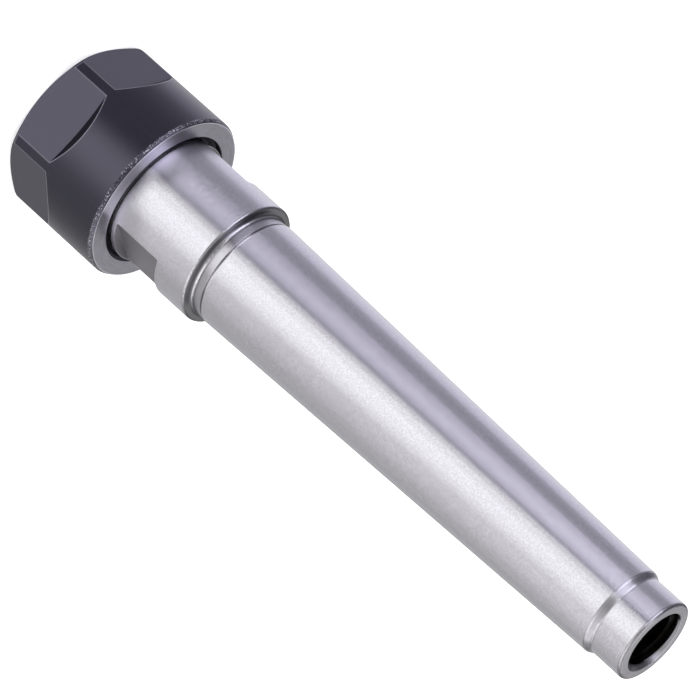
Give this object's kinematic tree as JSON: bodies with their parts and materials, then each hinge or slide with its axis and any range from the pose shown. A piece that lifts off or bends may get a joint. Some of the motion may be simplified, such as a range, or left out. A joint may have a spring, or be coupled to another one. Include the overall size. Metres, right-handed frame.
{
  "type": "collet chuck holder",
  "caption": "Collet chuck holder with a tapered shank, drawbar thread, wrench flats and a hexagonal clamping nut that pushes a slotted spring collet into its conical bore.",
  "frame": {"origin": "centre of the clamping nut's front face, which the holder stands on", "axes": "+Z along the axis towards the shank's small end; +X square to a wrench flat"},
  "size_m": [0.028, 0.028, 0.1201],
  "materials": {
    "ground_steel": "fine ground",
    "blackened_steel": "black oxide, bright on the turned back face",
    "collet_steel": "ground"
  },
  "bodies": {
    "holder": {"chuck_body": "ground_steel"},
    "collet": {"spring_collet": "collet_steel"},
    "nut": {"clamping_nut": "blackened_steel"}
  },
  "joints": [
    {"name": "collet_draw", "type": "slide", "parent": "holder", "child": "collet", "axis": [0, 0, -1], "range_m": [0, 0.00601]},
    {"name": "nut_turn", "type": "hinge", "parent": "collet", "child": "nut", "pos_m": [0, 0, 0.01], "axis": [0, 0, -1], "range_deg": [0, 1440]}
  ],
  "couplings": [
    {"joint": "collet_draw", "follows": "nut_turn", "m_per_rad": 0.00023873}
  ]
}
